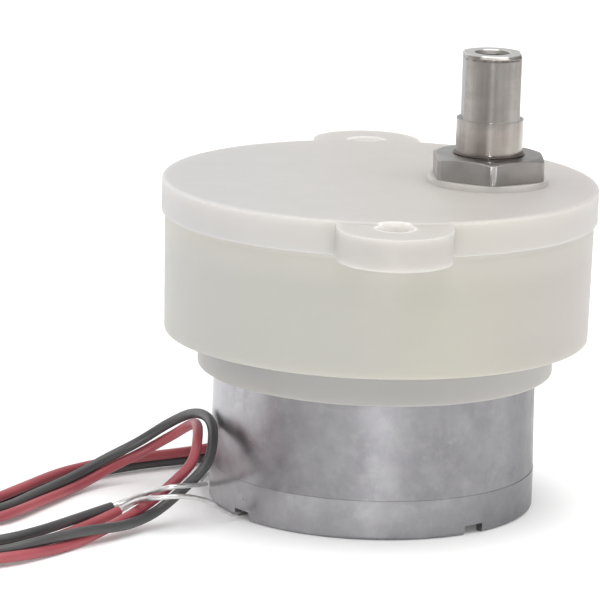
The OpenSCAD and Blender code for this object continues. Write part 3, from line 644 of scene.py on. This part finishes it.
def bare_wire(name, node, points, lead_end, into):
    """A tinned conductor that swells a little where the solder ran, and goes into its lead's end."""
    line = smooth([Vector(p) for p in points], STEPS)
    line = [*line[:-1], lead_end, lead_end + into * BARE_INSIDE]
    last = len(line) - 1
    radii = [0.95 + BARE_RIPPLE * math.sin(1.9 * i) + BARE_SWELL * (i / last) ** 6 for i in range(last + 1)]
    obj = wire(name, line, BARE_D, "tin", radii)
    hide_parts(node)
    return obj


def make_leads():
    lines = {"red": strand_points(1), "black": strand_points(-1)}
    red = wire("red_lead", lines["red"], LEAD_D, "red_insulation")
    black = wire("black_lead", lines["black"], LEAD_D, "black_rubber")
    for lead in (red, black):
        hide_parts("lead_pair")
    for name, start, end in (("red", RED_START, RED_END), ("black", BLACK_START, BLACK_END)):
        line = lines[name]
        into_start = (line[1] - line[0]).normalized()
        into_end = (line[-2] - line[-1]).normalized()
        first = bare_wire(f"{name}_bare_start", "tinned_leads", start, line[0], into_start)
        last = bare_wire(f"{name}_bare_end", "tinned_tips", end[::-1], line[-1], into_end)


# ---------- thread ----------

THREAD_PITCH = 0.7 * MM
THREAD_DEPTH = 0.14 * MM
THREAD_TURNS = 13
TURN_STEPS = 32
# The first turn's middle below the shaft's end, how far the ridge's foot is sunk in the wall, and half the
# width of that foot as a share of the pitch
THREAD_START = 0.75 * MM
THREAD_SUNK = 0.01 * MM
THREAD_HALF = 0.3


def make_thread():
    """The thread in the shaft's end: a ridge of triangular section that winds down the hole."""
    wall = MOUNTS["shaft_thread"]["dims"]["r_mm"] * MM
    foot = wall + THREAD_SUNK
    section = [(foot, THREAD_HALF), (wall - THREAD_DEPTH, 0), (foot, -THREAD_HALF)]
    form = bmesh.new()
    rings = []
    for step in range(THREAD_TURNS * TURN_STEPS + 1):
        turns = step / TURN_STEPS
        angle = 2 * math.pi * turns
        z = SHAFT_TOP_Z - THREAD_START - THREAD_PITCH * turns
        ring = []
        for r, up in section:
            place = (SHAFT_X + r * math.cos(angle), r * math.sin(angle), z + up * THREAD_PITCH)
            ring.append(form.verts.new(place))
        rings.append(ring)
    for a, b in zip(rings, rings[1:]):
        for i in range(3):
            j = (i + 1) % 3
            form.faces.new((a[i], b[i], b[j], a[j]))
    form.faces.new(rings[0])
    form.faces.new(rings[-1][::-1])
    bmesh.ops.recalc_face_normals(form, faces=form.faces)
    mesh = bpy.data.meshes.new("thread_turns")
    form.to_mesh(mesh)
    form.free()
    mesh.materials.append(MATERIALS["shaft_steel"])
    thread = bpy.data.objects.new("thread_turns", mesh)
    SCENE.collection.objects.link(thread)
    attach(thread, "output")


# ---------- edges ----------

# The width of each softened edge, in millimetres
BEVELS = {
    "gearbox_case": 0.25, "gearbox_lid": 0.3, "output_bushing": 0.1, "output_shaft": 0.08,
    "motor_can": 0.02, "end_cup": 0.02, "end_bell": 0.1, "shaft_ring": 0.06, "terminals": 0.06,
}


def soften_edges(node, width):
    """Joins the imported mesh's split corners and rounds its sharp edges."""
    weld = node.modifiers.new("weld", "WELD")
    weld.merge_threshold = 0.001 * MM
    flat = node.modifiers.new("flat", "DECIMATE")
    flat.decimate_type = "DISSOLVE"
    flat.angle_limit = math.radians(0.5)
    bevel = node.modifiers.new("bevel", "BEVEL")
    bevel.width = width * MM
    bevel.segments = 3
    bevel.limit_method = "ANGLE"
    bevel.angle_limit = math.radians(32)
    bevel.use_clamp_overlap = True
    shade = node.modifiers.new("shade", "WEIGHTED_NORMAL")
    shade.keep_sharp = True


# ---------- stage ----------

FLOOR_SIZE = 8
FLOOR_DROP = 0.02 * MM
FLOOR_GLOW = 0.08
# How bright the room is straight in front of the motor, and at its sides and back.  The change is over
# where a direction's Y is above ROOM_FRONT_END.
ROOM_FRONT = 0.4
ROOM_SIDES = 0.85
ROOM_FRONT_END = -0.45
# Each back corner of the room is a direction and how much brighter it is than the rest
ROOM_CORNERS = [((-0.8, 0.6, 0), 0.6), ((0.75, 0.66, 0), -0.35)]
LIGHTS_AIM = Vector((0, 0, 0.02))


def make_floor():
    mesh = bpy.data.meshes.new("floor")
    half = FLOOR_SIZE / 2
    corners = [(-half, -half, 0), (half, -half, 0), (half, half, 0), (-half, half, 0)]
    mesh.from_pydata(corners, [], [(0, 1, 2, 3)])
    floor = bpy.data.objects.new("floor", mesh)
    floor.location.z = cad_box[0].z - FLOOR_DROP
    SCENE.collection.objects.link(floor)
    s = Shader("floor")
    s.colour(s.ramp(s.noise(3, 2), (0.3, 0.93), (0.7, 0.95)))
    s.roughness(s.span(s.noise(200, 2), 0.55, 0.65))
    s.set(Emission_Color=(1, 1, 1, 1), Emission_Strength=FLOOR_GLOW, Specular_IOR_Level=0)
    mesh.materials.append(s.material)


def smooth_step(tree, value, from_low, from_high, low, high):
    """Takes from_low..from_high to low..high on a smooth curve."""
    node = tree.nodes.new("ShaderNodeMapRange")
    node.interpolation_type = "SMOOTHSTEP"
    tree.links.new(value, node.inputs["Value"])
    node.inputs["From Min"].default_value = from_low
    node.inputs["From Max"].default_value = from_high
    node.inputs["To Min"].default_value = low
    node.inputs["To Max"].default_value = high
    return node.outputs["Result"]


def make_world():
    """A white room: darker in front, where the camera stands, and brighter at the left back corner than at
    the right one."""
    world = bpy.data.worlds.new("studio")
    world.use_nodes = True
    SCENE.world = world
    tree = world.node_tree
    background = tree.nodes["Background"]
    place = tree.nodes.new("ShaderNodeTexCoord").outputs["Generated"]
    split = tree.nodes.new("ShaderNodeSeparateXYZ")
    tree.links.new(place, split.inputs["Vector"])
    strength = smooth_step(tree, split.outputs["Y"], -1, ROOM_FRONT_END, ROOM_FRONT, ROOM_SIDES)
    for towards, change in ROOM_CORNERS:
        along = tree.nodes.new("ShaderNodeVectorMath")
        along.operation = "DOT_PRODUCT"
        tree.links.new(place, along.inputs[0])
        along.inputs[1].default_value = towards
        corner = smooth_step(tree, along.outputs["Value"], 0.5, 1, 0, change)
        total = tree.nodes.new("ShaderNodeMath")
        tree.links.new(strength, total.inputs[0])
        tree.links.new(corner, total.inputs[1])
        strength = total.outputs[0]
    tree.links.new(strength, background.inputs["Strength"])
    background.inputs["Color"].default_value = (1, 1, 1, 1)


def make_light(name, place, size, watts):
    """An oblong soft light that points at the motor."""
    data = bpy.data.lights.new(name, "AREA")
    data.shape = "RECTANGLE"
    data.size, data.size_y = size
    data.energy = watts
    lamp = bpy.data.objects.new(name, data)
    lamp.location = place
    lamp.rotation_euler = (LIGHTS_AIM - Vector(place)).to_track_quat("-Z", "Y").to_euler()
    SCENE.collection.objects.link(lamp)


def make_lights():
    make_light("top_box", (0.1, -0.1, 0.9), (0.8, 0.8), 6)
    make_light("front_strip", (-0.02, -0.9, 0.14), (0.035, 0.26), 2.4)


make_camera()
make_leads()
finish_nodes()
make_thread()
for node_name, edge in BEVELS.items():
    soften_edges(NODES[node_name], edge)
make_floor()
make_world()
make_lights()
SCENE.view_settings.view_transform = "Standard"
